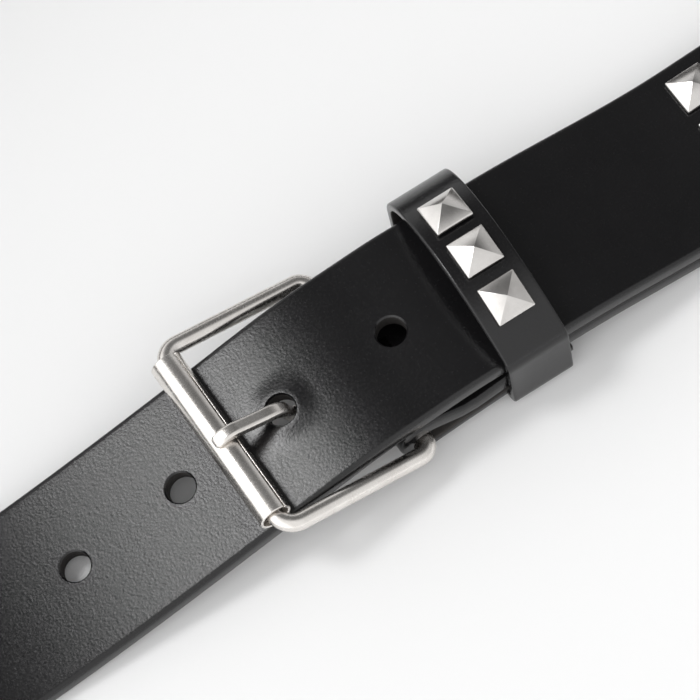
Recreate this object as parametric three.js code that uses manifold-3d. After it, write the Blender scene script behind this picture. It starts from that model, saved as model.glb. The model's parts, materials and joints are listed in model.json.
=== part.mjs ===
// A studded leather belt, fastened: the buckle front lies flat and the rest of the loop turns up on its edge.
// Millimetres, +Z up, +X along the strap from the free holes towards the strap's tip, +Y into the loop.
import * as THREE from 'three';
import { mergeVertices } from 'three/addons/utils/BufferGeometryUtils.js';
import Module from 'manifold-3d';

const wasm = await Module();
wasm.setup();

// Strap
const strapWidth = 38;
const strapThickness = 3.5;
const foldThickness = 2.5; // the buckle end is pared down before it is folded
const edgeChamfer = 0.5;
const gap = 0.3; // left between pieces that touch
const girth = 960; // outer edge, once round the closed loop
const flatLeft = 68; // flat run before the buckle
const flatRight = 146; // flat run after it
const twistRun = 120; // length over which the strap turns from flat to on edge
const twistLead = 40; // part of that length that is still straight in plan
const cornerTurn = 125; // degrees that each corner of the loop turns
const leftRest = 66; // from the roller back to where the strap lies down
const rightRest = 116; // and from the roller on to where both layers lie down
const rollerSlope = 0.18; // rise of the strap where it passes under the roller
const tipMargin = 22; // plain leather past the last stud

// Holes
const holeDiameter = 6.2;
const holePitch = 25.4;
const holesBefore = 3; // free holes on the loop side of the fastened one
const holesAfter = 1;
const fastenedHole = 14.4; // from the roller to the fastened hole's place in the row, at the strap's underside
const holePull = 0.8; // the prong has pulled that hole this far towards the roller

// Buckle
const wireDiameter = 3.7;
const frameLength = 33; // front bar to heel bar
const frameRoom = 1.8; // between a side bar and the strap's edge, with the frame in the middle
const frameTouch = 0.75; // what is left of it at the outward edge, where the frame has slid inward
const frameWidth = strapWidth + 2 * frameRoom + wireDiameter; // between the side bars' centre lines
const frameShift = frameRoom - frameTouch;
const frontCorner = 4;
const heelCorner = 2.8;
const rollerDiameter = 6.7;
const rollerWall = 0.6;
const rollerRoom = 1; // between its end and the side bar
const rollerSlide = 0.25; // it has slid this far along the front bar
const rollerLength = frameWidth - wireDiameter - 2 * rollerRoom;
const rollerShift = frameShift + rollerSlide;
const rollerHeight = 14.9;
const heelHeight = 6.6;
const prongWidth = 2.9;
const prongThickness = 2.3;
const prongShift = -0.4; // it leans against one side of its slot
const prongReach = 2.1; // tip past the roller's axis
const prongLean = 0.37; // slope of the prong from the roller down to the hole
const prongBevel = 4.6; // length of the slanting face at the tip
const prongTaper = 1; // length over which the tip grows to its full width
const prongEdge = 0.3;
const prongShoulder = 0.7;
const slotLength = 6; // past the heel bar
const slotClearance = 0.7;

// Keeper
const keeperWidth = 13.7;
const keeperThickness = 1.9;
const keeperPlace = 59.9;
const keeperSkew = 1.7; // degrees
const keeperClearance = 0.5; // at the outward edge
const keeperRoom = 3.6; // at the inward edge
const keeperFoot = 1.9; // radius of its lower corners, at mid thickness
const keeperBend = 2.5; // radius of its upper corner
const keeperWallTop = 16; // where the outward wall turns into that corner
const keeperFarTop = 10.4; // where the inward wall turns into the roof
const keeperRoofSlope = 28.6; // degrees, where the roof leaves the corner
const keeperRoofNear = 24.2; // how far the roof holds its slope before it turns down
const keeperRoofFar = 12; // and how high over the inward wall it would meet it
const keeperStudPitch = 10.55;
const keeperStudOffset = -0.1; // middle stud from the strap's centre
const foldTail = 1; // the folded end reaches this far past the keeper

// Studs
const studSide = 8.3;
const studHeight = 3;
const studRim = 0.7;
const studSink = 0.5; // how deep a stud of the long field sits in the leather
const studPitch = 11.4;
const studRows = 3;
const tipColumns = 3;
const tipStudStart = 118.6; // first column on the tip, from the roller
const fieldStart = 12; // from the strap's tip to the field's first column
const fieldEnd = 30; // from the field's last column to the flat run

// Rivets that hold the fold
const rivetPlace = 44.6;
const rivetSpread = 19;
const rivetCap = 2.2; // cap radius
const rivetPost = 1.2; // post radius
const rivetCapThickness = 0.8;
const rivetSlack = 0.9; // under the upper cap

const deg = Math.PI / 180;
const half = strapWidth / 2;
const barSeat = wireDiameter / 2 + gap;
const seatedThickness = strapThickness + gap;
const keeperLeft = keeperPlace - keeperWidth / 2;
const keeperRight = keeperPlace + keeperWidth / 2;
const foldFloor = keeperThickness + gap + foldThickness; // inner face of the fold-back inside the keeper
const tipEnd = tipStudStart + (tipColumns - 1) * studPitch + studSide / 2 + tipMargin;

const leather = { color: 0x1f1e20, roughness: 0.5, metalness: 0 };
const nickel = { color: 0xc9c4bc, roughness: 0.22, metalness: 1 };

function piece(name, geometry, finish) {
  const mesh = new THREE.Mesh(geometry, new THREE.MeshStandardMaterial(finish));
  mesh.name = name;
  return mesh;
}

// Closed skins

function loft(sections, closed = false) {
  const ring = sections[0].length;
  const positions = sections.flat().flatMap((point) => [point.x, point.y, point.z]);
  const indices = [];
  const last = closed ? sections.length : sections.length - 1;
  for (let i = 0; i < last; i++) {
    const a = i * ring;
    const b = ((i + 1) % sections.length) * ring;
    for (let j = 0; j < ring; j++) {
      const k = (j + 1) % ring;
      indices.push(a + j, a + k, b + k, a + j, b + k, b + j);
    }
  }
  if (!closed) {
    const end = (sections.length - 1) * ring;
    for (let j = 1; j < ring - 1; j++) {
      indices.push(0, j + 1, j, end, end + j, end + j + 1);
    }
  }
  if (enclosedVolume(positions, indices) < 0) {
    indices.reverse();
  }
  const geometry = new THREE.BufferGeometry();
  geometry.setAttribute('position', new THREE.Float32BufferAttribute(positions, 3));
  geometry.setIndex(indices);
  return geometry;
}

function enclosedVolume(positions, indices) {
  const corner = (i) => new THREE.Vector3().fromArray(positions, 3 * indices[i]);
  let sum = 0;
  for (let i = 0; i < indices.length; i += 3) {
    sum += corner(i).dot(corner(i + 1).cross(corner(i + 2))) / 6;
  }
  return sum;
}

function bare(geometry) {
  geometry.deleteAttribute('normal');
  geometry.deleteAttribute('uv');
  return mergeVertices(geometry, 1e-4);
}

function toSolid(geometry) {
  const closed = bare(geometry);
  return new wasm.Manifold(new wasm.Mesh({
    numProp: 3,
    vertProperties: new Float32Array(closed.attributes.position.array),
    triVerts: new Uint32Array(closed.index.array),
  }));
}

function toGeometry(solid) {
  const mesh = solid.getMesh();
  const geometry = new THREE.BufferGeometry();
  geometry.setAttribute('position', new THREE.BufferAttribute(mesh.vertProperties, 3));
  geometry.setIndex(new THREE.BufferAttribute(mesh.triVerts, 1));
  return geometry;
}

// Heights of the strap's layers through the buckle: a smooth curve through stations of x, height and slope.

const foldBackRun = [
  { x: frameLength, z: heelHeight - barSeat, slope: 0 },
  { x: rivetPlace, z: foldFloor, slope: 0 },
  { x: keeperRight + foldTail, z: foldFloor, slope: 0 },
];
const baseRun = [
  { x: frameLength, z: heelHeight + barSeat, slope: 0 },
  { x: rivetPlace, z: foldFloor + gap, slope: 0 },
  { x: keeperRight, z: foldFloor + gap + 0.42 * strapThickness, slope: -0.06 },
  { x: rightRest, z: 0, slope: 0 },
  { x: flatRight, z: 0, slope: 0 },
];
const tipRun = [
  { x: -flatLeft, z: 0, slope: 0 },
  { x: -leftRest, z: 0, slope: 0 },
  {
    x: 0,
    z: rollerHeight - Math.hypot(1, rollerSlope) * (rollerDiameter / 2 + seatedThickness),
    slope: rollerSlope,
  },
  { x: frameLength, z: heelHeight + barSeat + seatedThickness, slope: 0 },
  { x: keeperLeft - keeperWidth / 2, z: heelHeight + barSeat + 1.04 * seatedThickness, slope: -0.03 },
  { x: keeperRight, z: baseRun[2].z + 1.01 * seatedThickness, slope: -0.06 },
  { x: rightRest, z: seatedThickness, slope: 0 },
  { x: flatRight, z: seatedThickness, slope: 0 },
];

function runAt(run, x) {
  let i = run.findIndex((entry) => x <= entry.x);
  i = Math.max(1, i < 0 ? run.length - 1 : i);
  const [a, b] = [run[i - 1], run[i]];
  const span = b.x - a.x;
  const t = (x - a.x) / span;
  const rise = b.z - a.z;
  const z = a.z + rise * t * t * (3 - 2 * t) + span * t * (1 - t) * (a.slope * (1 - t) - b.slope * t);
  const slope = (6 * rise * t * (1 - t)) / span + a.slope * (1 - t) * (1 - 3 * t) + b.slope * t * (3 * t - 2);
  return { z, slope };
}

// A station of the strap: the middle of its flesh side, the way across it and the way out of its grain side.

function makeStation(at, cross, out, thickness = strapThickness, reach = half) {
  return { at, cross, out, thickness, reach };
}

function runStation(run, x) {
  const { z, slope } = runAt(run, x);
  const out = new THREE.Vector3(-slope, 0, 1).normalize();
  return makeStation(new THREE.Vector3(x, 0, z), new THREE.Vector3(0, 1, 0), out);
}

function steps(from, to, length) {
  const count = Math.max(1, Math.ceil(Math.abs(to - from) / length));
  return Array.from({ length: count + 1 }, (_, i) => from + ((to - from) * i) / count);
}

// The loop in plan: its outer lower edge follows two corners and a back arc between the ends of the flat run.

const turn = cornerTurn * deg;
const straightHalf = (flatLeft + flatRight) / 2 + twistLead;
const backTurn = 2 * (Math.PI - turn);
const cornerRadius = (girth / 2 - straightHalf * (1 + (backTurn / 2) / Math.sin(turn))) / Math.PI;
const backRadius = straightHalf / Math.sin(turn) + cornerRadius;
const loopLength = girth - flatLeft - flatRight;
const edgeParts = [
  { length: twistLead, bend: 0 },
  { length: cornerRadius * turn, bend: 1 / cornerRadius },
  { length: backRadius * backTurn, bend: 1 / backRadius },
  { length: cornerRadius * turn, bend: 1 / cornerRadius },
  { length: twistLead, bend: 0 },
];

function edgeAt(distance) {
  let x = flatRight;
  let y = -half;
  let heading = 0;
  let left = distance;
  for (const { length, bend } of edgeParts) {
    const run = Math.min(left, length);
    if (bend === 0) {
      x += run * Math.cos(heading);
      y += run * Math.sin(heading);
    } else {
      const next = heading + run * bend;
      x += (Math.sin(next) - Math.sin(heading)) / bend;
      y -= (Math.cos(next) - Math.cos(heading)) / bend;
      heading = next;
    }
    left -= run;
  }
  return { point: new THREE.Vector3(x, y, 0), heading };
}

function loopStation(distance) {
  const { point, heading } = edgeAt(distance);
  const nearEnd = Math.min(distance, loopLength - distance);
  const roll = 90 * deg * THREE.MathUtils.smoothstep(nearEnd, 0, twistRun);
  const inward = new THREE.Vector3(-Math.sin(heading), Math.cos(heading), 0);
  const up = new THREE.Vector3(0, 0, 1);
  const cross = inward.clone().multiplyScalar(Math.cos(roll)).addScaledVector(up, Math.sin(roll));
  const out = inward.clone().multiplyScalar(-Math.sin(roll)).addScaledVector(up, Math.cos(roll));
  return makeStation(point.addScaledVector(cross, half), cross, out);
}

function baseStation(x) {
  return x <= flatRight ? runStation(baseRun, x) : loopStation(x - flatRight);
}

function tipStation(x) {
  if (x <= flatRight) {
    return runStation(tipRun, x);
  }
  const station = loopStation(x - flatRight);
  station.at.addScaledVector(station.out, seatedThickness);
  return station;
}

// The strap

function sectionOf({ at, cross, out, thickness, reach }, low = 0, high = thickness, chamfer = edgeChamfer) {
  const outline = [
    [chamfer - reach, low], [reach - chamfer, low], [reach, low + chamfer], [reach, high - chamfer],
    [reach - chamfer, high], [chamfer - reach, high], [-reach, high - chamfer], [-reach, low + chamfer],
  ];
  return outline.map(([across, up]) => at.clone().addScaledVector(cross, across).addScaledVector(out, up));
}

function foldBackStation(x) {
  const station = runStation(foldBackRun, x);
  station.out.negate();
  station.thickness = foldThickness;
  return station;
}

function foldStation(angle) {
  const out = new THREE.Vector3(Math.cos(angle), 0, Math.sin(angle));
  const at = new THREE.Vector3(frameLength, 0, heelHeight).addScaledVector(out, barSeat);
  const share = THREE.MathUtils.smoothstep(-angle, -270 * deg, -90 * deg);
  const thickness = THREE.MathUtils.lerp(foldThickness, strapThickness, share);
  return makeStation(at, new THREE.Vector3(0, 1, 0), out, thickness);
}

const foldEnd = foldBackRun.at(-1).x;
const foldTurn = steps(270 * deg, 90 * deg, 22.5 * deg).slice(1, -1).map(foldStation);

function roundedTip(x) {
  const station = tipStation(x);
  const past = Math.max(0, (x - (tipEnd - half)) / half);
  station.reach = Math.max(half * Math.sqrt(Math.max(0, 1 - past * past)), 1.5 * edgeChamfer + 1);
  return station;
}

const tipRound = steps(0, 1, 0.125).slice(1).map((share) => tipEnd - half * Math.cos((share * Math.PI) / 2));
const strapStations = [
  ...steps(foldEnd, frameLength, 5).map(foldBackStation),
  ...foldTurn,
  ...steps(frameLength, rightRest, 3).map((x) => runStation(baseRun, x)),
  ...steps(0, twistRun, 6).map(loopStation),
  ...steps(twistRun, loopLength - twistRun, 9).slice(1, -1).map(loopStation),
  ...steps(loopLength - twistRun, loopLength, 6).map(loopStation),
  ...steps(-leftRest, flatRight, 4).map(tipStation),
  ...steps(flatRight, tipEnd - half, 4).slice(1, -1).map(roundedTip),
  ...tipRound.map(roundedTip),
];
let strap = toSolid(loft(strapStations.map((station) => sectionOf(station))));

// Round holes, square to the strap

function boreAt(station, radius, length) {
  const axis = station.at.clone().addScaledVector(station.out, station.thickness / 2);
  const geometry = new THREE.CylinderGeometry(radius, radius, length, 20);
  geometry.applyQuaternion(new THREE.Quaternion().setFromUnitVectors(new THREE.Vector3(0, 1, 0), station.out));
  geometry.translate(axis.x, axis.y, axis.z);
  return toSolid(geometry);
}

function grainPoint(x) {
  const { at, out, thickness } = tipStation(x);
  return at.clone().addScaledVector(out, thickness);
}

function alongTip(from, distance) {
  const stride = Math.sign(distance) * 0.2;
  let x = from;
  let left = Math.abs(distance);
  while (left > 0) {
    const whole = grainPoint(x).distanceTo(grainPoint(x + stride));
    const share = Math.min(1, left / whole);
    x += stride * share;
    left -= whole;
  }
  return x;
}

const pulledHole = fastenedHole - holePull;
for (let i = -holesBefore; i <= holesAfter; i++) {
  const x = i === 0 ? pulledHole : alongTip(fastenedHole, i * holePitch);
  strap = strap.subtract(boreAt(tipStation(x), holeDiameter / 2, 2 * strapThickness));
}

// The slot in the fold that lets the prong turn on the heel bar

const slotTop = gap / 2;
const slotReach = prongWidth / 2 + slotClearance;
const slotStations = [
  ...steps(frameLength + slotLength, frameLength, 3).map(foldBackStation),
  ...foldTurn,
  ...steps(frameLength, frameLength + slotLength, 2).map((x) => runStation(baseRun, x)),
];
const slotSections = slotStations.map((station) => {
  const narrow = { ...station, reach: slotReach };
  return sectionOf(narrow, -wireDiameter / 4, station.thickness + slotTop, slotTop);
});
strap = strap.subtract(toSolid(loft(slotSections)));

// Rivets: a post between two flat caps, one plain piece each

const rivetTop = runAt(baseRun, rivetPlace).z + strapThickness + rivetSlack + rivetCapThickness;
const rivetFoot = runAt(foldBackRun, rivetPlace).z - foldThickness - gap - rivetCapThickness;

function rivetGeometry() {
  const shoulder = rivetFoot + rivetCapThickness;
  const collar = rivetTop - rivetCapThickness;
  const rim = rivetCap - rivetCapThickness / 2;
  const outline = [
    [0, rivetFoot], [rim, rivetFoot], [rivetCap, shoulder], [rivetPost, shoulder],
    [rivetPost, collar], [rivetCap, collar], [rim, rivetTop], [0, rivetTop],
  ];
  const geometry = new THREE.LatheGeometry(outline.map(([r, z]) => new THREE.Vector2(r, z)), 14);
  geometry.rotateX(Math.PI / 2);
  return bare(geometry);
}

const rivets = [-1, 1].map((side, i) => {
  const rivet = piece(`fold_rivet_${i + 1}`, rivetGeometry(), nickel);
  rivet.position.set(rivetPlace, (side * rivetSpread) / 2, 0);
  const hole = new THREE.CylinderGeometry(rivetPost + gap, rivetPost + gap, rivetTop - rivetFoot, 14);
  hole.rotateX(Math.PI / 2);
  hole.translate(rivet.position.x, rivet.position.y, (rivetTop + rivetFoot) / 2);
  strap = strap.subtract(toSolid(hole));
  return rivet;
});

// Pyramid studs

function studGeometry(foot = 0) {
  const edge = studSide / 2;
  const corners = [[-1, -1], [1, -1], [1, 1], [-1, 1]];
  const level = (z) => corners.map(([x, y]) => new THREE.Vector3(x * edge, y * edge, z));
  const positions = [...level(foot), ...level(studRim), new THREE.Vector3(0, 0, studHeight)];
  const indices = [0, 2, 1, 0, 3, 2];
  for (let j = 0; j < 4; j++) {
    const k = (j + 1) % 4;
    indices.push(j, k, k + 4, j, k + 4, j + 4, j + 4, k + 4, 8);
  }
  const geometry = new THREE.BufferGeometry();
  geometry.setAttribute('position', new THREE.Float32BufferAttribute(positions.flatMap((p) => p.toArray()), 3));
  geometry.setIndex(indices);
  return geometry;
}

function studPlace(station, row, lift) {
  const along = new THREE.Vector3().crossVectors(station.cross, station.out);
  const across = (row - (studRows - 1) / 2) * studPitch;
  const at = station.at.clone().addScaledVector(station.cross, across);
  at.addScaledVector(station.out, station.thickness + lift);
  return new THREE.Matrix4().makeBasis(along, station.cross, station.out).setPosition(at);
}

const tipStuds = [];
for (let column = 0; column < tipColumns; column++) {
  for (let row = 0; row < studRows; row++) {
    const stud = piece(`tip_stud_${tipStuds.length + 1}`, studGeometry(), nickel);
    stud.applyMatrix4(studPlace(tipStation(tipStudStart + column * studPitch), row, gap));
    tipStuds.push(stud);
  }
}

const fieldFrom = tipEnd + fieldStart;
const fieldTo = flatRight + loopLength - fieldEnd;
const fieldStuds = [];
for (let x = fieldFrom; x <= fieldTo; x += studPitch) {
  for (let row = 0; row < studRows; row++) {
    fieldStuds.push(toSolid(studGeometry(-studSink).applyMatrix4(studPlace(baseStation(x), row, 0))));
  }
}
strap = fieldStuds.reduce((joined, stud) => joined.add(stud), strap);

// Buckle frame: one bent wire, tilted from the roller down to the heel bar

const tilt = Math.atan2(rollerHeight - heelHeight, frameLength);
const wireRun = Math.hypot(frameLength, rollerHeight - heelHeight);

function wireFrame() {
  const halfWidth = frameWidth / 2;
  const corners = [
    { p: frontCorner, q: frontCorner - halfWidth, radius: frontCorner, start: 180 },
    { p: wireRun - heelCorner, q: heelCorner - halfWidth, radius: heelCorner, start: 270 },
    { p: wireRun - heelCorner, q: halfWidth - heelCorner, radius: heelCorner, start: 0 },
    { p: frontCorner, q: halfWidth - frontCorner, radius: frontCorner, start: 90 },
  ];
  const sections = corners.flatMap(({ p, q, radius, start }) => steps(start, start + 90, 15).map((angle) => {
    const out = new THREE.Vector3(Math.cos(angle * deg), Math.sin(angle * deg), 0);
    const centre = new THREE.Vector3(p, q, 0).addScaledVector(out, radius);
    return Array.from({ length: 12 }, (_, i) => {
      const round = (i * 30 + 15) * deg;
      const point = centre.clone().addScaledVector(out, (wireDiameter / 2) * Math.cos(round));
      return point.setZ((wireDiameter / 2) * Math.sin(round));
    });
  }));
  return loft(sections, true);
}

const frame = piece('buckle_frame', wireFrame(), nickel);
frame.rotation.y = tilt;
frame.position.set(0, frameShift, rollerHeight);

// Roller: a thin tube, open at both ends

function rollerGeometry() {
  const outer = rollerDiameter / 2;
  const inner = outer - rollerWall;
  const end = rollerLength / 2;
  const outline = [[inner, -end], [outer, -end], [outer, end], [inner, end], [inner, -end]];
  return bare(new THREE.LatheGeometry(outline.map(([r, y]) => new THREE.Vector2(r, y)), 20));
}

const roller = piece('buckle_roller', rollerGeometry(), nickel);
roller.position.set(0, rollerShift, rollerHeight);

// Prong: curled round the heel bar, up through the fastened hole and over the roller

const curlRadius = barSeat + prongThickness / 2;
const prongRise = rollerDiameter / 2 + 1.15 * gap + prongThickness / 2; // its centre line from the roller's axis
const prongOverRoller = rollerHeight + prongRise;
const tipUnderHole = runAt(tipRun, pulledHole).z;
const curl = steps(-150, 80, 23).map((angle) => [
  frameLength + curlRadius * Math.cos(angle * deg), heelHeight + curlRadius * Math.sin(angle * deg),
]);
const lean = Math.atan(prongLean);
const leanStart = new THREE.Vector2(prongRise * Math.sin(lean), rollerHeight + prongRise * Math.cos(lean));
const onLean = (x) => [x, leanStart.y - prongLean * (x - leanStart.x)];
const shank = [
  [frameLength - wireDiameter / 4, heelHeight + curlRadius],
  [pulledHole + 1.6 * holeDiameter, tipUnderHole - 0.4 * prongThickness],
  [pulledHole + 0.65 * holeDiameter, tipUnderHole - 0.76 * prongThickness],
  [pulledHole + 0.2 * holeDiameter, tipUnderHole - 0.24 * prongThickness],
  [pulledHole + 0.05 * holeDiameter, tipUnderHole + strapThickness / 2],
  [pulledHole - 0.06 * holeDiameter, tipUnderHole + strapThickness + 0.15 * prongThickness],
  onLean(pulledHole - 0.3 * holeDiameter),
  onLean(pulledHole - 0.8 * holeDiameter),
  onLean(0.7 * rollerDiameter),
  [leanStart.x, leanStart.y],
  [0, prongOverRoller],
  [-prongReach, prongOverRoller - 0.22 * prongThickness],
];
const prongPoints = [...curl, ...shank].map(([x, z]) => new THREE.Vector3(x, prongShift, z));
const prongPath = new THREE.CatmullRomCurve3(prongPoints, false, 'centripetal');

function prongGeometry() {
  const count = 44;
  const length = prongPath.getLength();
  const sections = Array.from({ length: count + 1 }, (_, i) => {
    const share = i / count;
    const at = prongPath.getPointAt(share);
    const ahead = prongPath.getTangentAt(share);
    const up = new THREE.Vector3(ahead.z, 0, -ahead.x);
    const toEnd = (1 - share) * length;
    const low = -prongThickness / 2;
    const full = prongThickness * Math.min(1, 0.35 + (0.65 * toEnd) / prongBevel);
    const side = (prongWidth / 2) * Math.min(1, 0.8 + (0.2 * toEnd) / prongTaper);
    const shoulder = side - prongShoulder * Math.min(1, toEnd / prongBevel);
    const outline = [
      [prongEdge - side, low], [side - prongEdge, low], [side, low + prongEdge], [side, low + full * 0.6],
      [shoulder, low + full], [-shoulder, low + full], [-side, low + full * 0.6], [-side, low + prongEdge],
    ];
    return outline.map(([y, z]) => at.clone().add(new THREE.Vector3(0, y, 0)).addScaledVector(up, z));
  });
  return loft(sections);
}

const prong = piece('buckle_prong', prongGeometry(), nickel);

// Keeper: a stiff leather band that stands in an arch over the strap

const keeperNear = -(half + keeperClearance + keeperThickness / 2);
const keeperFar = half + keeperRoom + keeperThickness / 2;
const keeperFloor = keeperThickness / 2;
const roofStart = new THREE.Vector2(Math.sin(keeperRoofSlope * deg), -Math.cos(keeperRoofSlope * deg))
  .multiplyScalar(-keeperBend).add(new THREE.Vector2(keeperNear + keeperBend, keeperWallTop));
const roofHeading = new THREE.Vector2(Math.cos(keeperRoofSlope * deg), Math.sin(keeperRoofSlope * deg));
const roof = new THREE.CubicBezierCurve(
  roofStart,
  roofStart.clone().addScaledVector(roofHeading, keeperRoofNear),
  new THREE.Vector2(keeperFar, keeperFarTop + keeperRoofFar),
  new THREE.Vector2(keeperFar, keeperFarTop),
);
const roofPoints = roof.getSpacedPoints(26);

function bandPoints() {
  const corner = (y, z, radius, from, to) => steps(from, to, 18).map((angle) => (
    new THREE.Vector2(y + radius * Math.cos(angle * deg), z + radius * Math.sin(angle * deg))));
  return [
    ...corner(keeperFar - keeperFoot, keeperFloor + keeperFoot, keeperFoot, 0, -90),
    ...corner(keeperNear + keeperFoot, keeperFloor + keeperFoot, keeperFoot, -90, -180),
    ...corner(keeperNear + keeperBend, keeperWallTop, keeperBend, 180, 90 + keeperRoofSlope).slice(0, -1),
    ...roofPoints,
  ];
}

function keeperGeometry() {
  const points = bandPoints();
  const across = new THREE.Vector3(1, 0, 0);
  const sections = points.map((point, i) => {
    const before = points[(i + points.length - 1) % points.length];
    const after = points[(i + 1) % points.length];
    const ahead = after.clone().sub(before).normalize();
    const out = new THREE.Vector3(0, -ahead.y, ahead.x);
    const at = new THREE.Vector3(0, point.x, point.y).addScaledVector(out, -keeperThickness / 2);
    return sectionOf(makeStation(at, across, out, keeperThickness, keeperWidth / 2));
  });
  return loft(sections, true);
}

const keeperGroup = new THREE.Group();
keeperGroup.position.x = keeperPlace;
keeperGroup.rotation.z = -keeperSkew * deg;
keeperGroup.add(piece('keeper', keeperGeometry(), leather));

const roofLength = roof.getLength();
const middleShare = steps(0, 1, 0.002).find((share) => roof.getPointAt(share).x >= keeperStudOffset);
for (let i = 0; i < 3; i++) {
  const share = middleShare + ((1 - i) * keeperStudPitch) / roofLength;
  const point = roof.getPointAt(share);
  const ahead = roof.getTangentAt(share);
  const lift = keeperThickness / 2 + 1.2 * gap;
  const stud = piece(`keeper_stud_${i + 1}`, studGeometry(), nickel);
  stud.position.set(0, point.x - ahead.y * lift, point.y + ahead.x * lift);
  stud.rotation.x = Math.atan2(ahead.y, ahead.x);
  keeperGroup.add(stud);
}

// The whole belt, standing on z = 0 with its origin under the middle of its box

const parts = new THREE.Group();
parts.add(piece('strap', toGeometry(strap), leather), ...rivets, ...tipStuds, frame, roller, prong, keeperGroup);
const box = new THREE.Box3().setFromObject(parts, true);
const middle = box.getCenter(new THREE.Vector3());
parts.position.set(-middle.x, -middle.y, -box.min.z);

const belt = new THREE.Group();
belt.add(parts);

export default belt;
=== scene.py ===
# A studded leather belt, fastened: the buckle front lies flat and the loop turns up on its edge.
import json
import math
from bisect import bisect_right

import bpy
from mathutils import Matrix, Vector


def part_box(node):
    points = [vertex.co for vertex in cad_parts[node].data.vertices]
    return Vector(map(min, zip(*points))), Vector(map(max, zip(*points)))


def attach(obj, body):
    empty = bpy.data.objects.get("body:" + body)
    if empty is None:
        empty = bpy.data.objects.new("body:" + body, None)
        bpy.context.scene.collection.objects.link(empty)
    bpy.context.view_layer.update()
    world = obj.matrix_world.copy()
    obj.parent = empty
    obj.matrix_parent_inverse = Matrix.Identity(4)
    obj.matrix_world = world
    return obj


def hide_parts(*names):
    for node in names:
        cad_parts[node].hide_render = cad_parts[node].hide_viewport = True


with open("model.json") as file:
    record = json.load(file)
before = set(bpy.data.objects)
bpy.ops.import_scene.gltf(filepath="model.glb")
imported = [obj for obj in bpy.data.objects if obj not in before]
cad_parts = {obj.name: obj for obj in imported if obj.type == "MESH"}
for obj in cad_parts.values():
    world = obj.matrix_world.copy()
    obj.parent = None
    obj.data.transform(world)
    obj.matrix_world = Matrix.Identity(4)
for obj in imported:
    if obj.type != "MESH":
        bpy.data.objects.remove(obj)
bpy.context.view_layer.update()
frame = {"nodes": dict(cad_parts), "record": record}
bpy.ops.object.select_all(action="DESELECT")

mm = 0.001
beltBody = next(name for name, nodes in frame["record"]["behaviour"]["bodies"].items() if "strap" in nodes)
rollerBody = next(name for name, nodes in frame["record"]["behaviour"]["bodies"].items()
                  if "buckle_roller" in nodes)

# The drawing's zero is on the roller's axis, at the middle of the strap's width
rollerSize = {"diameter": 6.7, "wall": 0.6, "length": 39.6, "shift": 1.3, "height": 14.9, "seamAt": 44,
              "edge": 0.14}
lowCorner, highCorner = (Vector(corner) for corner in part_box("buckle_roller"))
rollerMiddle = (lowCorner + highCorner) / 2
drawingZero = rollerMiddle / mm - Vector((0, rollerSize["shift"], rollerSize["height"]))
toRow = Matrix.Scale(mm, 4) @ Matrix.Translation(drawingZero)
print("belt: frame loaded")


# Small helpers

def activate(piece):
    bpy.ops.object.select_all(action="DESELECT")
    piece.select_set(True)
    bpy.context.view_layer.objects.active = piece


def applyModifier(piece, kind, **values):
    activate(piece)
    modifier = piece.modifiers.new(kind.title(), kind)
    for name, value in values.items():
        setattr(modifier, name, value)
    bpy.ops.object.modifier_apply(modifier=modifier.name)


def finishPiece(piece, name, materials, body=None, replaces=(), smooth=35):
    activate(piece)
    piece.name = name
    piece.data.name = name
    bpy.ops.object.shade_smooth_by_angle(angle=math.radians(smooth))
    piece.data.materials.clear()
    for material in materials:
        piece.data.materials.append(material)
    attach(piece, body or beltBody)
    if replaces:
        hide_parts(*replaces)
    return piece


def ease(t):
    t = min(1, max(0, t))
    return t * t * (3 - 2 * t)


def spread(start, end, length):
    count = max(1, math.ceil(abs(end - start) / length))
    return [start + (end - start) * i / count for i in range(count + 1)]


# Finishes

def addNode(tree, kind, **values):
    node = tree.nodes.new(kind)
    for name, value in values.items():
        if name in node.inputs:
            node.inputs[name].default_value = value
        else:
            setattr(node, name, value)
    return node


def newMaterial(name):
    material = bpy.data.materials.new(name)
    material.use_nodes = True
    tree = material.node_tree
    shader = tree.nodes["Principled BSDF"]
    place = tree.nodes.new("ShaderNodeTexCoord").outputs["Object"]
    return material, tree, shader, place


def noiseAt(tree, place, scale, detail=3.0, roughness=0.5):
    node = addNode(tree, "ShaderNodeTexNoise", Scale=scale, Detail=detail, Roughness=roughness)
    tree.links.new(place, node.inputs["Vector"])
    return node.outputs["Fac"]


def rampOf(tree, value, stops):
    node = tree.nodes.new("ShaderNodeValToRGB")
    elements = node.color_ramp.elements
    while len(elements) < len(stops):
        elements.new(0.5)
    for element, (position, shade) in zip(elements, stops):
        element.position = position
        element.color = (*shade, 1) if isinstance(shade, tuple) else (shade, shade, shade, 1)
    tree.links.new(value, node.inputs["Fac"])
    return node.outputs["Color"]


def bumpFrom(tree, height, strength, distance, under=None):
    node = addNode(tree, "ShaderNodeBump", Strength=strength, Distance=distance)
    tree.links.new(height, node.inputs["Height"])
    if under:
        tree.links.new(under, node.inputs["Normal"])
    return node.outputs["Normal"]


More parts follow.
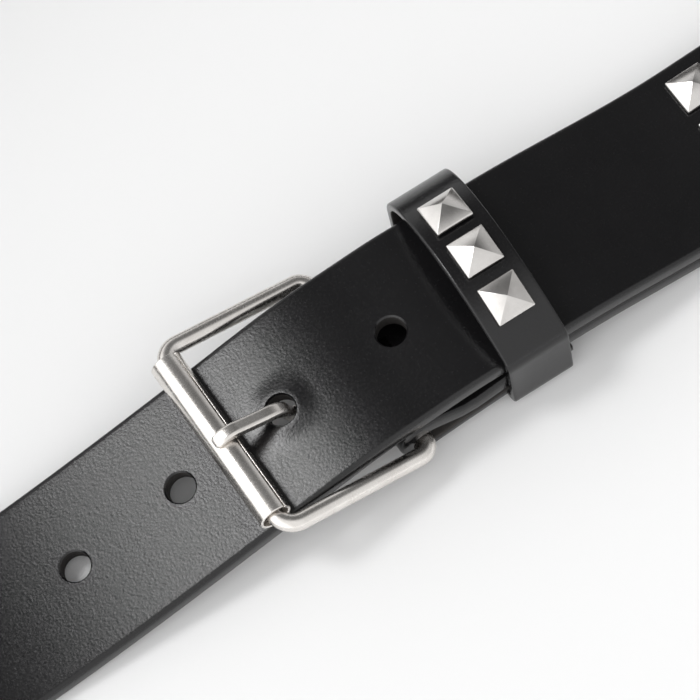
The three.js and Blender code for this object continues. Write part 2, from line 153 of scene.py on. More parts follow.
def grainLeather(name, look):
    material, tree, shader, place = newMaterial(name)
    cloudy = noiseAt(tree, place, look["cloudScale"], 4.0, 0.6)
    tree.links.new(rampOf(tree, cloudy, [(0.3, look["dark"]), (0.7, look["light"])]),
                   shader.inputs["Base Color"])
    fine = noiseAt(tree, place, look["grainScale"], 3.0, 0.65)
    rough = rampOf(tree, fine, [(0.25, look["roughLow"]), (0.75, look["roughHigh"])])
    tree.links.new(rough, shader.inputs["Roughness"])
    cells = addNode(tree, "ShaderNodeTexVoronoi", feature="SMOOTH_F1", Scale=look["cellScale"],
                    Smoothness=0.6)
    tree.links.new(place, cells.inputs["Vector"])
    pebbled = bumpFrom(tree, cells.outputs["Distance"], look["cellBump"], look["cellDepth"])
    grained = bumpFrom(tree, fine, look["grainBump"], look["grainDepth"], pebbled)
    tree.links.new(grained, shader.inputs["Normal"])
    shader.inputs["Specular IOR Level"].default_value = look["specular"]
    return material


leatherLook = {
    "cloudScale": 45, "dark": (0.0045, 0.0043, 0.0048), "light": (0.0075, 0.0072, 0.0078),
    "grainScale": 2200, "roughLow": 0.12, "roughHigh": 0.30, "cellScale": 1600,
    "cellBump": 0.5, "cellDepth": 0.00002, "grainBump": 0.9, "grainDepth": 0.000028, "specular": 0.5,
}
fleshLook = {
    "cloudScale": 120, "dark": (0.022, 0.020, 0.019), "light": (0.060, 0.056, 0.053),
    "grainScale": 2600, "roughLow": 0.80, "roughHigh": 0.98, "cellScale": 900,
    "cellBump": 0.5, "cellDepth": 0.0002, "grainBump": 0.7, "grainDepth": 0.00015, "specular": 0.25,
}
beltLeather = grainLeather("beltLeather", leatherLook)
beltFlesh = grainLeather("beltFleshSide", fleshLook)


def platedNickel(name, look):
    material, tree, shader, place = newMaterial(name)
    stretch = addNode(tree, "ShaderNodeMapping", Scale=look["streaks"])
    tree.links.new(place, stretch.inputs["Vector"])
    brushed = noiseAt(tree, stretch.outputs["Vector"], look["streakScale"], 4.0, 0.7)
    rough = rampOf(tree, brushed, [(0.3, look["roughLow"]), (0.7, look["roughHigh"])])
    tree.links.new(rough, shader.inputs["Roughness"])
    worn = noiseAt(tree, place, look["wearScale"], 3.0, 0.6)
    tree.links.new(rampOf(tree, worn, [(0.35, look["deep"]), (0.65, look["bright"])]),
                   shader.inputs["Base Color"])
    tree.links.new(bumpFrom(tree, brushed, look["bump"], 0.00002), shader.inputs["Normal"])
    shader.inputs["Metallic"].default_value = 1.0
    return material


buckleLook = {
    "streaks": (1, 1, 1), "streakScale": 1600, "roughLow": 0.23, "roughHigh": 0.29,
    "wearScale": 260, "deep": (0.76, 0.725, 0.69), "bright": (0.84, 0.81, 0.775), "bump": 0.02,
}
studLook = dict(buckleLook, roughLow=0.18, roughHigh=0.26, deep=(0.63, 0.61, 0.59),
                bright=(0.69, 0.67, 0.65))
buckleNickel = platedNickel("buckleNickel", buckleLook)
studNickel = platedNickel("studNickel", studLook)
print("belt: finishes ready")


# The strap's course: the same sizes as the solids

strapSize = {
    "width": 38, "thickness": 3.5, "foldThickness": 2.5, "grainEdge": 1.0, "fleshEdge": 0.5,
    "holeEdge": 0.35, "gap": 0.3,
    "girth": 960, "flatLeft": 68, "flatRight": 146, "twistRun": 120, "twistLead": 40, "cornerTurn": 125,
    "leftRest": 66, "rightRest": 116, "rollerSlope": 0.18, "tipMargin": 22,
    "holeDiameter": 6.2, "holePitch": 25.4, "fastenedHole": 14.4, "holePull": 0.8, "rivetPlace": 44.6,
    "slotLength": 6, "slotHalf": 2.15, "pulledRim": 0.32,
}
frameSize = {
    "wire": 3.7, "length": 33, "width": 45.3, "shift": 1.05, "frontCorner": 4, "heelCorner": 2.8,
    "heelHeight": 6.6,
}
keeperSize = {
    "width": 13.7, "thickness": 1.9, "place": 59.9, "skew": 1.7, "clearance": 0.5, "room": 3.6, "foot": 1.9,
    "bend": 2.5, "wallTop": 16, "farTop": 10.4, "roofSlope": 28.6, "roofNear": 24.2, "roofFar": 12,
    "studPitch": 10.55, "studOffset": -0.1, "foldTail": 1, "edge": 0.4,
}
studSize = {
    "side": 8.3, "height": 3, "rim": 0.7, "pitch": 11.4, "rows": 3, "tipColumns": 3,
    "tipStart": 118.6, "fieldStart": 12, "fieldEnd": 30, "rimRound": 0.3, "ridge": 0.1, "crown": 0.12,
}
half = strapSize["width"] / 2
gap = strapSize["gap"]
thick = strapSize["thickness"]
layer = thick + gap
frameLength = frameSize["length"]
heelHeight = frameSize["heelHeight"]
barSeat = frameSize["wire"] / 2 + gap
keeperLeft = keeperSize["place"] - keeperSize["width"] / 2
keeperRight = keeperSize["place"] + keeperSize["width"] / 2
foldFloor = keeperSize["thickness"] + gap + strapSize["foldThickness"]
foldEnd = keeperRight + keeperSize["foldTail"]
tipEnd = studSize["tipStart"] + (studSize["tipColumns"] - 1) * studSize["pitch"] + studSize["side"] / 2
tipEnd += strapSize["tipMargin"]
flatLeft = strapSize["flatLeft"]
flatRight = strapSize["flatRight"]

foldBackRun = [  # place along the buckle, height of the flesh side, slope
    (frameLength, heelHeight - barSeat, 0),
    (strapSize["rivetPlace"], foldFloor, 0),
    (foldEnd, foldFloor, 0),
]
baseRun = [
    (frameLength, heelHeight + barSeat, 0),
    (strapSize["rivetPlace"], foldFloor + gap, 0),
    (keeperRight, foldFloor + gap + 0.42 * thick, -0.06),
    (strapSize["rightRest"], 0, 0),
    (flatRight, 0, 0),
]
underRoller = math.hypot(1, strapSize["rollerSlope"]) * (rollerSize["diameter"] / 2 + layer)
tipRun = [
    (-flatLeft, 0, 0),
    (-strapSize["leftRest"], 0, 0),
    (0, rollerSize["height"] - underRoller, strapSize["rollerSlope"]),
    (frameLength, heelHeight + barSeat + layer, 0),
    (keeperLeft - keeperSize["width"] / 2, heelHeight + barSeat + 1.04 * layer, -0.03),
    (keeperRight, baseRun[2][1] + 1.01 * layer, -0.06),
    (strapSize["rightRest"], layer, 0),
    (flatRight, layer, 0),
]


def runAt(run, x):
    i = next((i for i, entry in enumerate(run) if x <= entry[0]), len(run) - 1)
    (ax, az, aSlope), (bx, bz, bSlope) = run[max(1, i) - 1], run[max(1, i)]
    span, rise = bx - ax, bz - az
    t = (x - ax) / span
    z = az + rise * t * t * (3 - 2 * t) + span * t * (1 - t) * (aSlope * (1 - t) - bSlope * t)
    slope = 6 * rise * t * (1 - t) / span + aSlope * (1 - t) * (1 - 3 * t) + bSlope * t * (3 * t - 2)
    return z, slope


def runStation(run, x):
    z, slope = runAt(run, x)
    return [Vector((x, 0, z)), Vector((0, 1, 0)), Vector((-slope, 0, 1)).normalized(), thick]


turn = math.radians(strapSize["cornerTurn"])
straightHalf = (flatLeft + flatRight) / 2 + strapSize["twistLead"]
backTurn = 2 * (math.pi - turn)
cornerRadius = (strapSize["girth"] / 2 - straightHalf * (1 + backTurn / 2 / math.sin(turn))) / math.pi
backRadius = straightHalf / math.sin(turn) + cornerRadius
loopLength = strapSize["girth"] - flatLeft - flatRight
edgeParts = [
    (strapSize["twistLead"], 0), (cornerRadius * turn, 1 / cornerRadius),
    (backRadius * backTurn, 1 / backRadius),
    (cornerRadius * turn, 1 / cornerRadius), (strapSize["twistLead"], 0),
]


def loopStation(distance):
    x, y, heading, left = flatRight, -half, 0.0, distance
    for length, bend in edgeParts:
        run = min(left, length)
        if bend:
            after = heading + run * bend
            x += (math.sin(after) - math.sin(heading)) / bend
            y -= (math.cos(after) - math.cos(heading)) / bend
            heading = after
        else:
            x += run * math.cos(heading)
            y += run * math.sin(heading)
        left -= run
    nearEnd = min(distance, loopLength - distance)
    roll = math.pi / 2 * ease(nearEnd / strapSize["twistRun"])
    inward = Vector((-math.sin(heading), math.cos(heading), 0))
    up = Vector((0, 0, 1))
    cross = inward * math.cos(roll) + up * math.sin(roll)
    out = up * math.cos(roll) - inward * math.sin(roll)
    return [Vector((x, y, 0)) + cross * half, cross, out, thick]


def baseStation(x):
    return runStation(baseRun, x) if x <= flatRight else loopStation(x - flatRight)


def tipStation(x):
    if x <= flatRight:
        return runStation(tipRun, x)
    at, cross, out, thickness = loopStation(x - flatRight)
    return [at + out * layer, cross, out, thickness]


def foldBackStation(x):
    at, cross, out, thickness = runStation(foldBackRun, x)
    return [at, cross, -out, strapSize["foldThickness"]]


def foldStation(angle):
    out = Vector((math.cos(math.radians(angle)), 0, math.sin(math.radians(angle))))
    share = ease((270 - angle) / 180)
    thickness = strapSize["foldThickness"] * (1 - share) + thick * share
    return [Vector((frameLength, 0, heelHeight)) + out * barSeat, Vector((0, 1, 0)), out, thickness]


# A strip is cut flat and then bent onto its course

def courseOf(stations):
    course, place = [], 0.0
    for i, (at, cross, out, thickness) in enumerate(stations):
        grain = at + out * thickness
        if i:
            place += (grain - last).length
        last = grain
        course.append((place, at, cross, out, thickness))
    return course


def bendOnto(piece, course, flatThickness):
    places = [entry[0] for entry in course]
    for vertex in piece.data.vertices:
        along, across, height = vertex.co
        i = min(max(bisect_right(places, along) - 1, 0), len(course) - 2)
        before, after = course[i], course[i + 1]
        share = (along - before[0]) / max(after[0] - before[0], 1e-9)
        at, cross, out = (before[k].lerp(after[k], share) for k in (1, 2, 3))
        thickness = before[4] + (after[4] - before[4]) * share
        out.normalize()
        vertex.co = toRow @ (at + cross.normalized() * across + out * (height * thickness / flatThickness))


def cutStrip(columns, rows):
    bpy.ops.object.select_all(action="DESELECT")
    bpy.ops.mesh.primitive_grid_add(x_subdivisions=len(columns) - 1, y_subdivisions=len(rows) - 1, size=1)
    strip = bpy.context.object
    xs = sorted({round(v.co.x, 5) for v in strip.data.vertices})
    ys = sorted({round(v.co.y, 5) for v in strip.data.vertices})
    columnOf = {x: i for i, x in enumerate(xs)}
    rowOf = {y: i for i, y in enumerate(ys)}
    cells = {}
    for vertex in strip.data.vertices:
        i, j = columnOf[round(vertex.co.x, 5)], rowOf[round(vertex.co.y, 5)]
        cells[vertex.index] = (i, j)
        vertex.co = (columns[i], rows[j], 0)
    return strip, cells


def dropFaces(strip, chosen):
    activate(strip)
    bpy.ops.object.mode_set(mode="EDIT")
    bpy.ops.mesh.select_mode(type="FACE")
    bpy.ops.mesh.select_all(action="DESELECT")
    bpy.ops.object.mode_set(mode="OBJECT")
    for face in strip.data.polygons:
        face.select = chosen(face)
    bpy.ops.object.mode_set(mode="EDIT")
    bpy.ops.mesh.delete(type="FACE")
    bpy.ops.object.mode_set(mode="OBJECT")


def thickenStrip(strip, thickness, edge, steps):
    applyModifier(strip, "SOLIDIFY", thickness=thickness, offset=1.0, use_even_offset=True)
    applyModifier(strip, "BEVEL", width=edge, segments=steps, limit_method="ANGLE",
                  angle_limit=math.radians(50))


def markFleshSide(strip):
    fleshFaces = [face.normal.z < -0.5 for face in strip.data.polygons]
    return fleshFaces


# Strap

beltStations = [foldBackStation(x) for x in spread(foldEnd, frameLength, 1)]
beltStations += [foldStation(angle) for angle in spread(270, 90, 5)[1:-1]]
foldStations = len(beltStations)
beltStations += [runStation(baseRun, x) for x in spread(frameLength, flatRight, 1)]
beltStations += [loopStation(u) for u in spread(0, loopLength, 1.5)[1:]]
tipFrom = len(beltStations)
beltStations += [tipStation(x) for x in spread(-flatLeft, tipEnd, 0.5)[1:]]
tipPlaces = [-flatLeft + (tipEnd + flatLeft) * i / (len(beltStations) - tipFrom)
             for i in range(1, len(beltStations) - tipFrom + 1)]
beltCourse = courseOf(beltStations)


def placeOnTip(x):
    i = min(range(len(tipPlaces)), key=lambda k: abs(tipPlaces[k] - x))
    return beltCourse[tipFrom + i][0] + (x - tipPlaces[i])


foldNose = beltCourse[foldStations][0]
holePlaces = [placeOnTip(strapSize["fastenedHole"]) + i * strapSize["holePitch"] for i in range(-3, 2)]
fastened = placeOnTip(strapSize["fastenedHole"] - strapSize["holePull"])
holePlaces[3] = fastened
holeRadius = strapSize["holeDiameter"] / 2
ringPlaces = [holeRadius * share for share in (0, 0.333, 0.667, 1, 1.1, 1.4, 1.8)]


def strapColumns():
    loopFrom = beltCourse[foldStations][0] + (flatRight - frameLength)
    columns = spread(0, foldNose - 30, 4) + spread(foldNose - 30, foldNose + 3, 0.9)[1:]
    columns += spread(foldNose + 3, loopFrom, 2.5)[1:]
    columns += spread(loopFrom, loopFrom + 130, 3)[1:]
    columns += spread(loopFrom + 130, loopFrom + loopLength - 130, 5)[1:]
    columns += spread(loopFrom + loopLength - 130, beltCourse[tipFrom][0], 3)[1:]
    total = beltCourse[-1][0]
    columns += spread(beltCourse[tipFrom][0], total - half, 1.8)[1:]
    columns += [total - half * math.cos(math.radians(angle)) for angle in spread(0, 88, 5.5)[1:]]
    keep = [c for c in columns if all(abs(c - hole) > ringPlaces[6] + 0.9 for hole in holePlaces)]
    for hole in holePlaces:
        keep += [hole + side * ring for ring in ringPlaces for side in ((1, -1) if ring else (1,))]
    return sorted(keep)


def strapRows():
    outer = [8, 11, 14, 16.6] + [half - inset for inset in (1.2, 0.8, 0.5, 0.25, 0.08, 0)]
    rows = [0.0] + [side * place for place in ringPlaces[1:] + outer for side in (1, -1)]
    return sorted(rows)


def ringAngle(i, j):
    if abs(i) >= abs(j):
        return math.radians(45 * j / i + (180 if i < 0 else 0))
    return math.radians(90 - 45 * i / j + (180 if j < 0 else 0))


columns, rows = strapColumns(), strapRows()
strapPiece, cells = cutStrip(columns, rows)
middleRow = rows.index(0.0)
holeColumns = [min(range(len(columns)), key=lambda k: abs(columns[k] - hole)) for hole in holePlaces]
insideHole = set()
for column, hole in zip(holeColumns, holePlaces):
    for vertex in strapPiece.data.vertices:
        i, j = cells[vertex.index][0] - column, cells[vertex.index][1] - middleRow
        ring = max(abs(i), abs(j))
        if ring <= 3:
            insideHole.add(vertex.index)
        if 3 <= ring <= 6:
            angle = ringAngle(i, j)
            circle = Vector((hole + math.cos(angle) * ringPlaces[ring],
                             math.sin(angle) * ringPlaces[ring], 0))
            vertex.co = circle.lerp(vertex.co, 0.5 if ring == 6 else 0)
slotFrom = foldNose - 16 - strapSize["slotLength"]
slotTo = foldNose + strapSize["slotLength"]


def strapOpening(face):
    if all(index in insideHole for index in face.vertices):
        return True
    return slotFrom < face.center.x < slotTo and abs(face.center.y) < strapSize["slotHalf"]


dropFaces(strapPiece, strapOpening)
total = beltCourse[-1][0]


def halfAt(along):
    past = max(0, along - (total - half)) / half
    return half * max(math.sqrt(max(0, 1 - past * past)), 0.06)


def roundedBy(inside, radius):
    return radius - math.sqrt(max(0, radius ** 2 - max(0, radius - inside) ** 2))


for vertex in strapPiece.data.vertices:
    vertex.co.y *= halfAt(vertex.co.x) / half
applyModifier(strapPiece, "SOLIDIFY", thickness=thick, offset=1.0)
fleshFaces = markFleshSide(strapPiece)
for face in strapPiece.data.polygons:
    nearest = min(math.hypot(face.center.x - hole, face.center.y) for hole in holePlaces)
    if nearest < holeRadius and abs(face.normal.z) < 0.5:
        fleshFaces[face.index] = True
for vertex in strapPiece.data.vertices:
    inside = min(halfAt(vertex.co.x) - abs(vertex.co.y), total - vertex.co.x)
    if vertex.co.z < thick / 2:
        vertex.co.z += roundedBy(inside, strapSize["fleshEdge"])
        continue
    vertex.co.z -= roundedBy(inside, strapSize["grainEdge"])
    fromHole = min(math.hypot(vertex.co.x - hole, vertex.co.y) for hole in holePlaces) - holeRadius
    vertex.co.z -= roundedBy(max(0, fromHole), strapSize["holeEdge"])
    away = math.hypot(vertex.co.x - fastened, vertex.co.y) / holeRadius
    vertex.co.z += strapSize["pulledRim"] * math.exp(-((away - 1.25) / 0.32) ** 2)
bendOnto(strapPiece, beltCourse, thick)
finishPiece(strapPiece, "strapLeather", [beltLeather, beltFlesh], replaces=["strap"],
            smooth=40)
for face, flesh in zip(strapPiece.data.polygons, fleshFaces):
    face.material_index = 1 if flesh else 0
print("belt: strap cut and bent", len(strapPiece.data.polygons))


# Keeper

def keeperPath():
    size = keeperSize
    middle = size["thickness"] / 2
    near = -(half + size["clearance"] + middle)
    far = half + size["room"] + middle
    points = []

    def arc(y, z, radius, start, end):
        for angle in spread(start, end, 7):
            turned = math.radians(angle)
            points.append(Vector((y + radius * math.cos(turned), z + radius * math.sin(turned))))

    points.append(Vector((2.0, middle)))
    arc(near + size["foot"], middle + size["foot"], size["foot"], -90, -180)
    arc(near + size["bend"], size["wallTop"], size["bend"], 180, 90 + size["roofSlope"])
    slope = math.radians(size["roofSlope"])
    start = points.pop()
    heading = Vector((math.cos(slope), math.sin(slope)))
    handles = [start, start + heading * size["roofNear"],
               Vector((far, size["farTop"] + size["roofFar"])), Vector((far, size["farTop"]))]
    for i in range(81):
        t = i / 80
        weights = ((1 - t) ** 3, 3 * t * (1 - t) ** 2, 3 * t * t * (1 - t), t ** 3)
        points.append(sum((handle * weight for handle, weight in zip(handles, weights)), Vector((0, 0))))
    arc(far - size["foot"], middle + size["foot"], size["foot"], 0, -90)
    points.append(Vector((2.1, middle)))
    return points


def keeperStations():
    points = keeperPath()
    stations = []
    for i, point in enumerate(points):
        ahead = (points[min(i + 1, len(points) - 1)] - points[max(i - 1, 0)]).normalized()
        out = Vector((0, -ahead.y, ahead.x))
        at = Vector((0, point.x, point.y)) - out * keeperSize["thickness"] / 2
        stations.append([at, Vector((1, 0, 0)), out, keeperSize["thickness"]])
    return stations


keeperCourse = courseOf(keeperStations())
keeperLength = keeperCourse[-1][0]
keeperShift = Matrix.Translation((keeperSize["place"], 0, 0))
keeperTurn = keeperShift @ Matrix.Rotation(math.radians(-keeperSize["skew"]), 4, "Z")


def turnKeeper(piece):
    piece.data.transform(toRow @ keeperTurn @ toRow.inverted())


keeperHalf = keeperSize["width"] / 2
keeperRows = sorted([0.0] + [side * place for place in (3, 5, 6.2, keeperHalf) for side in (1, -1)])
keeperPiece, _ = cutStrip(spread(0, keeperLength, 0.8), keeperRows)
thickenStrip(keeperPiece, keeperSize["thickness"], keeperSize["edge"], 3)
fleshFaces = markFleshSide(keeperPiece)
bendOnto(keeperPiece, keeperCourse, keeperSize["thickness"])
turnKeeper(keeperPiece)
activate(keeperPiece)
bpy.ops.object.mode_set(mode="EDIT")
bpy.ops.mesh.select_all(action="SELECT")
bpy.ops.mesh.normals_make_consistent(inside=False)
bpy.ops.object.mode_set(mode="OBJECT")
finishPiece(keeperPiece, "keeperLeather", [beltLeather, beltFlesh], replaces=["keeper"],
            smooth=40)
for face, flesh in zip(keeperPiece.data.polygons, fleshFaces):
    face.material_index = 1 if flesh else 0
print("belt: keeper bent")


# Studs: one pyramid is shaped and copied

def makeStud():
    size = studSize
    bpy.ops.object.select_all(action="DESELECT")
    bpy.ops.mesh.primitive_cube_add(size=1, location=(0, 0, size["rim"] / 2),
                                    scale=(size["side"], size["side"], size["rim"]))
    stud = bpy.context.object
    bpy.ops.object.transform_apply(location=True, rotation=True, scale=True)
    bpy.ops.object.mode_set(mode="EDIT")
    bpy.ops.mesh.select_mode(type="FACE")
    bpy.ops.mesh.select_all(action="DESELECT")
    bpy.ops.object.mode_set(mode="OBJECT")
    for face in stud.data.polygons:
        face.select = face.normal.z > 0.9
    bpy.ops.object.mode_set(mode="EDIT")
    bpy.ops.mesh.extrude_region_move(TRANSFORM_OT_translate={"value": (0, 0, size["height"] - size["rim"])})
    bpy.ops.transform.resize(value=(size["crown"] / size["side"], size["crown"] / size["side"], 1))
    bpy.ops.object.mode_set(mode="OBJECT")
    applyModifier(stud, "BEVEL", width=size["rimRound"], segments=3, limit_method="ANGLE",
                  angle_limit=math.radians(50))
    applyModifier(stud, "BEVEL", width=size["ridge"], segments=2, limit_method="ANGLE",
                  angle_limit=math.radians(30))
    return stud


studMaster = makeStud()


def placeStud(matrix):
    stud = studMaster.copy()
    stud.data = studMaster.data.copy()
    stud.data.transform(toRow @ matrix)
    bpy.context.collection.objects.link(stud)
    return stud


def studMatrix(station, row, lift):
    at, cross, out, thickness = station
    along = cross.cross(out)
    across = (row - (studSize["rows"] - 1) / 2) * studSize["pitch"]
    place = at + cross * across + out * (thickness + lift)
    return Matrix.Translation(place) @ Matrix((along, cross, out)).transposed().to_4x4()


number = 0
for column in range(studSize["tipColumns"]):
    for row in range(studSize["rows"]):
        number += 1
        station = tipStation(studSize["tipStart"] + column * studSize["pitch"])
        stud = placeStud(studMatrix(station, row, gap))
        finishPiece(stud, f"tipStud{number}", [studNickel], replaces=[f"tip_stud_{number}"],
                    smooth=25)

fieldStuds = []
x = tipEnd + studSize["fieldStart"]
while x <= flatRight + loopLength - studSize["fieldEnd"]:
    fieldStuds += [placeStud(studMatrix(baseStation(x), row, -0.05)) for row in range(studSize["rows"])]
    x += studSize["pitch"]
bpy.ops.object.select_all(action="DESELECT")
for stud in fieldStuds:
    stud.select_set(True)
bpy.context.view_layer.objects.active = fieldStuds[0]
bpy.ops.object.join()
finishPiece(bpy.context.object, "fieldStuds", [studNickel], replaces=["strap"], smooth=25)

roofPoints = keeperPath()
roofLengths = [0.0]
for before, after in zip(roofPoints, roofPoints[1:]):
    roofLengths.append(roofLengths[-1] + (after - before).length)
roofStart = next(i for i, point in enumerate(roofPoints) if point.y > keeperSize["wallTop"] + 2)
middleAt = next(roofLengths[i] for i in range(roofStart, len(roofPoints))
                if roofPoints[i].x >= keeperSize["studOffset"])
for i in range(3):
    wanted = middleAt + (1 - i) * keeperSize["studPitch"]
    k = bisect_right(roofLengths, wanted) - 1
    share = (wanted - roofLengths[k]) / (roofLengths[k + 1] - roofLengths[k])
    point = roofPoints[k].lerp(roofPoints[k + 1], share)
    ahead = (roofPoints[k + 1] - roofPoints[k]).normalized()
    lift = keeperSize["thickness"] / 2 + gap
    place = Vector((0, point.x - ahead.y * lift, point.y + ahead.x * lift))
    tilt = Matrix.Rotation(math.atan2(ahead.y, ahead.x), 4, "X")
    stud = placeStud(keeperTurn @ Matrix.Translation(place) @ tilt)
    finishPiece(stud, f"keeperStud{i + 1}", [studNickel], replaces=[f"keeper_stud_{i + 1}"],
                smooth=25)
bpy.data.objects.remove(studMaster)
print("belt: studs set", number + 3 + len(fieldStuds))


# Buckle frame: a bent wire

def makeFrame():
    size = frameSize
    rise = rollerSize["height"] - heelHeight
    run = math.hypot(size["length"], rise)
    reach = size["width"] / 2
    front, heel = size["frontCorner"], size["heelCorner"]
    bpy.ops.object.select_all(action="DESELECT")
    bpy.ops.curve.primitive_bezier_circle_add(radius=1)
    wire = bpy.context.object
    bpy.ops.object.mode_set(mode="EDIT")
    bpy.ops.curve.select_all(action="SELECT")
    bpy.ops.curve.subdivide()
    bpy.ops.object.mode_set(mode="OBJECT")
    corners = [  # point, way in, way out, corner radius; the arc runs from each even point to the next
        ((0, reach - front), (0, 1), front), ((front, reach), (1, 0), front),
        ((run - heel, reach), (1, 0), heel), ((run, reach - heel), (0, -1), heel),
        ((run, heel - reach), (0, -1), heel), ((run - heel, -reach), (-1, 0), heel),
        ((front, -reach), (-1, 0), front), ((0, front - reach), (0, 1), front),
    ]
    points = wire.data.splines[0].bezier_points
    for i, (point, ((p, q), (dp, dq), radius)) in enumerate(zip(points, corners)):
        point.handle_left_type = point.handle_right_type = "FREE"
        pull = 0.5523 * radius
        back, ahead = (0.5, pull) if i % 2 == 0 else (pull, 0.5)
        point.co = (p, q, 0)
        point.handle_left = (p - dp * back, q - dq * back, 0)
        point.handle_right = (p + dp * ahead, q + dq * ahead, 0)
    wire.data.resolution_u = 12
    wire.data.bevel_depth = size["wire"] / 2
    wire.data.bevel_resolution = 8
    bpy.ops.object.convert(target="MESH")
    wire = bpy.context.object
    tilt = Matrix.Rotation(math.atan2(rise, size["length"]), 4, "Y")
    wire.data.transform(toRow @ Matrix.Translation((0, size["shift"], rollerSize["height"])) @ tilt)
    return wire


finishPiece(makeFrame(), "buckleFrame", [buckleNickel], replaces=["buckle_frame"],
            smooth=60)


# Roller: rolled sheet with an open seam

def makeRoller():
    size = rollerSize
    bpy.ops.object.select_all(action="DESELECT")
    start = size["shift"] - size["length"] / 2
    bpy.ops.mesh.primitive_circle_add(
        vertices=96, radius=size["diameter"] / 2, fill_type="NOTHING",
        location=(0, start, size["height"]), rotation=(math.pi / 2, 0, 0))
    tube = bpy.context.object
    bpy.ops.object.transform_apply(location=True, rotation=True, scale=True)
    seam = math.radians(size["seamAt"])
    seamPlace = Vector((math.sin(seam), 0, math.cos(seam))) * size["diameter"] / 2
    seamPlace += Vector((0, start, size["height"]))
    bpy.ops.object.mode_set(mode="EDIT")
    bpy.ops.mesh.select_mode(type="VERT")
    bpy.ops.mesh.select_all(action="DESELECT")
    bpy.ops.object.mode_set(mode="OBJECT")
    nearest = min(tube.data.vertices, key=lambda v: (v.co - seamPlace).length)
    nearest.select = True
    bpy.ops.object.mode_set(mode="EDIT")
    bpy.ops.mesh.delete(type="VERT")
    bpy.ops.mesh.select_all(action="SELECT")
    bpy.ops.mesh.extrude_region_move(TRANSFORM_OT_translate={"value": (0, size["length"], 0)})
    bpy.ops.mesh.select_all(action="SELECT")
    bpy.ops.mesh.normals_make_consistent(inside=False)
    bpy.ops.object.mode_set(mode="OBJECT")
    outwards = sum((face.center - Vector((0, face.center.y, size["height"]))).dot(face.normal)
                   for face in tube.data.polygons)
    if outwards < 0:
        bpy.ops.object.mode_set(mode="EDIT")
        bpy.ops.mesh.flip_normals()
        bpy.ops.object.mode_set(mode="OBJECT")
    applyModifier(tube, "SOLIDIFY", thickness=size["wall"], offset=-1.0)
    applyModifier(tube, "BEVEL", width=size["edge"], segments=3, limit_method="ANGLE",
                  angle_limit=math.radians(50))
    tube.data.transform(toRow)
    return tube


finishPiece(makeRoller(), "buckleRoller", [buckleNickel], body=rollerBody, replaces=["buckle_roller"],
            smooth=40)


# Prong: a bar that is curled round the heel bar and lies on the roller

prongSize = {
    "width": 2.9, "thickness": 2.3, "shift": -0.4, "reach": 2.1, "lean": 0.37, "edge": 0.72,
    "bevelRun": 4.6,
    "bevelLeft": 0.35,
}


def prongPoints():
    size = prongSize
    curlRadius = barSeat + size["thickness"] / 2
    points = []
    for angle in spread(-150, 80, 23):
        turned = math.radians(angle)
        points.append((frameLength + curlRadius * math.cos(turned),
                       heelHeight + curlRadius * math.sin(turned)))
    rise = rollerSize["diameter"] / 2 + 1.15 * gap + size["thickness"] / 2
    over = rollerSize["height"] + rise
    lean = math.atan(size["lean"])
    leanX, leanZ = rise * math.sin(lean), rollerSize["height"] + rise * math.cos(lean)
    hole, bore = strapSize["fastenedHole"] - strapSize["holePull"], strapSize["holeDiameter"]
    under = runAt(tipRun, hole)[0]
    deep = size["thickness"]
    points += [
        (frameLength - frameSize["wire"] / 4, heelHeight + curlRadius),
        (hole + 1.6 * bore, under - 0.4 * deep),
        (hole + 0.65 * bore, under - 0.76 * deep),
        (hole + 0.2 * bore, under - 0.24 * deep),
        (hole + 0.05 * bore, under + thick / 2),
        (hole - 0.06 * bore, under + thick + 0.15 * deep),
    ]
    points += [(x, leanZ - size["lean"] * (x - leanX))
               for x in (hole - 0.3 * bore, hole - 0.8 * bore, 0.7 * rollerSize["diameter"], leanX)]
    points += [(0, over), (-size["reach"], over - 0.22 * deep)]
    return [Vector((x, size["shift"], z)) for x, z in points]


def smoothPath(points, steps):
    ends = [points[0] * 2 - points[1]] + points + [points[-1] * 2 - points[-2]]
    path = []
    for i in range(1, len(ends) - 2):
        p0, p1, p2, p3 = ends[i - 1:i + 3]
        t1 = math.sqrt((p1 - p0).length)
        t2 = t1 + math.sqrt((p2 - p1).length)
        t3 = t2 + math.sqrt((p3 - p2).length)
        for k in range(steps):
            t = t1 + (t2 - t1) * k / steps
            a1 = p0.lerp(p1, t / t1)
            a2 = p1.lerp(p2, (t - t1) / (t2 - t1))
            a3 = p2.lerp(p3, (t - t2) / (t3 - t2))
            b1 = a1.lerp(a2, t / t2)
            b2 = a2.lerp(a3, (t - t1) / (t3 - t1))
            path.append(b1.lerp(b2, (t - t1) / (t2 - t1)))
    return path + [points[-1]]


def makeProng():
    size = prongSize
    path = smoothPath(prongPoints(), 8)
    course, place = [], 0.0
    for i, point in enumerate(path):
        ahead = (path[min(i + 1, len(path) - 1)] - path[max(i - 1, 0)]).normalized()
        up = Vector((ahead.z, 0, -ahead.x))
        if i:
            place += (point - path[i - 1]).length
        course.append((place, point - up * size["thickness"] / 2, Vector((0, 1, 0)), up, size["thickness"]))
    wide = size["width"] / 2
    bar, _ = cutStrip(spread(0, place, 0.7), [-wide, -wide / 3, wide / 3, wide])
    thickenStrip(bar, size["thickness"], size["edge"], 3)
    for vertex in bar.data.vertices:
        toEnd = place - vertex.co.x
        share = min(1, max(0, toEnd / size["bevelRun"]))
        vertex.co.z *= size["bevelLeft"] + (1 - size["bevelLeft"]) * share
        vertex.co.y *= 0.8 + 0.2 * min(1, max(0, toEnd))
    bendOnto(bar, course, size["thickness"])
    return bar


finishPiece(makeProng(), "buckleProng", [buckleNickel], replaces=["buckle_prong"],
            smooth=40)
print("belt: buckle made")

for name in ("fold_rivet_1", "fold_rivet_2"):
    for materialSlot in frame["nodes"][name].material_slots:
        materialSlot.link = "OBJECT"
        materialSlot.material = buckleNickel


# Floor, light and camera

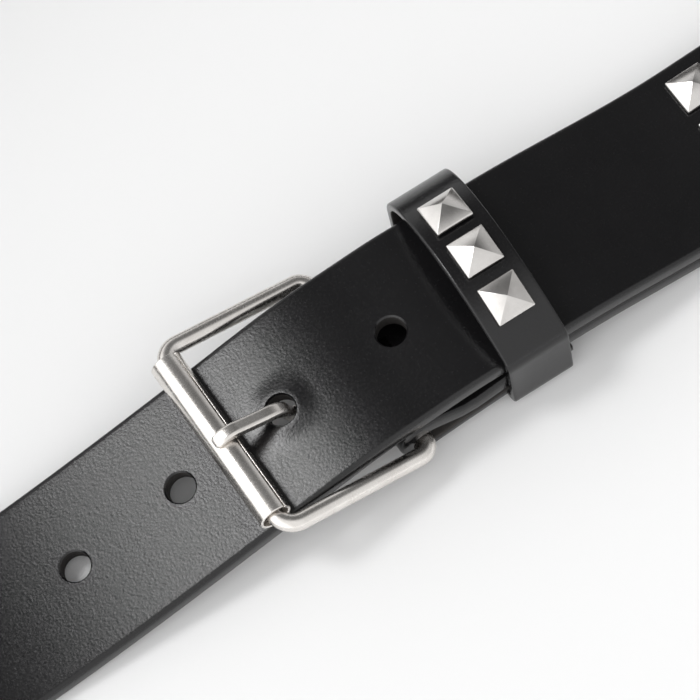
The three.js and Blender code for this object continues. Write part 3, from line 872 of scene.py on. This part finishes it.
floorLook = {"size": 8.0, "shade": 0.90, "rough": 0.8, "drop": 0.0002}
bpy.ops.object.select_all(action="DESELECT")
bpy.ops.mesh.primitive_plane_add(size=floorLook["size"], location=(0, 0, -floorLook["drop"]))
floor = bpy.context.object
floor.name = "paleFloor"
floorMaterial, tree, shader, place = newMaterial("paleFloor")
tree.links.new(rampOf(tree, noiseAt(tree, place, 3),
                      [(0.2, floorLook["shade"]), (0.8, floorLook["shade"] * 1.01)]),
               shader.inputs["Base Color"])
shader.inputs["Roughness"].default_value = floorLook["rough"]
shader.inputs["Specular IOR Level"].default_value = 0.1
floor.data.materials.append(floorMaterial)

# A pale tent, brighter on the left, with one soft box and a dark opening over the right-hand side
roomLook = {
    "softWay": (-0.38, 0.36, 0.85), "softFrom": 0.982, "softFull": 0.996, "soft": 12.0,
    "darkWay": (0.34, 0.42, 0.84), "darkFrom": 0.74, "darkFull": 0.92, "dark": 0.18,
    "left": 1.0, "middle": 0.60, "right": 0.34, "horizon": 0.22, "room": 1.68,
}
world = bpy.data.worlds.new("softRoom")
bpy.context.scene.world = world
world.use_nodes = True
tree = world.node_tree
direction = tree.nodes.new("ShaderNodeTexCoord").outputs["Generated"]
split = tree.nodes.new("ShaderNodeSeparateXYZ")
tree.links.new(direction, split.inputs["Vector"])
halved = addNode(tree, "ShaderNodeMath", operation="MULTIPLY_ADD")
halved.inputs[1].default_value = halved.inputs[2].default_value = 0.5
tree.links.new(split.outputs["X"], halved.inputs[0])


def facing(way, start, full, low, high):
    towards = addNode(tree, "ShaderNodeVectorMath", operation="DOT_PRODUCT")
    tree.links.new(direction, towards.inputs[0])
    towards.inputs[1].default_value = Vector(way).normalized()
    return rampOf(tree, towards.outputs["Value"], [(start, low), (full, high)])


def mixed(kind, first, second):
    node = addNode(tree, "ShaderNodeVectorMath", operation=kind)
    tree.links.new(first, node.inputs[0])
    tree.links.new(second, node.inputs[1])
    return node.outputs["Vector"]


sides = rampOf(tree, halved.outputs["Value"], [(0.15, roomLook["left"]), (0.35, roomLook["middle"]),
                                               (0.6, roomLook["middle"]), (0.95, roomLook["right"])])
heights = rampOf(tree, split.outputs["Z"], [(0.0, roomLook["horizon"]), (0.25, 0.0)])
opening = facing(roomLook["darkWay"], roomLook["darkFrom"], roomLook["darkFull"], 1.0, roomLook["dark"])
room = tree.nodes["Background"]
tree.links.new(mixed("MULTIPLY", mixed("ADD", sides, heights), opening), room.inputs["Color"])
room.inputs["Strength"].default_value = roomLook["room"]
softBox = addNode(tree, "ShaderNodeBackground", Strength=roomLook["soft"])
tree.links.new(facing(roomLook["softWay"], roomLook["softFrom"], roomLook["softFull"], 0.0, 1.0),
               softBox.inputs["Color"])
joined = tree.nodes.new("ShaderNodeAddShader")
tree.links.new(room.outputs["Background"], joined.inputs[0])
tree.links.new(softBox.outputs["Background"], joined.inputs[1])
tree.links.new(joined.outputs["Shader"], tree.nodes["World Output"].inputs["Surface"])

view = {
    "right": (0.827148, -0.549170, -0.119322), "up": (0.546604, 0.736836, 0.397866),
    "back": (-0.130576, -0.394316, 0.909651), "target": (31.311, 4.091, 10.0), "distance": 726.41,
    "focal": 3724.43,
}
bpy.ops.object.select_all(action="DESELECT")
bpy.ops.object.camera_add()
camera = bpy.context.object
camera.name = "photoCamera"
camera.data.sensor_width = 36
camera.data.lens = view["focal"] / 700 * 36
camera.data.clip_end = 20
axes = Matrix([view["right"], view["up"], view["back"]]).transposed()
place = toRow @ (Vector(view["target"]) + Vector(view["back"]) * view["distance"])
camera.matrix_world = Matrix.Translation(place) @ axes.to_4x4()
bpy.context.scene.camera = camera
bpy.context.scene.view_settings.view_transform = "Standard"
print("belt: floor, light and camera set")
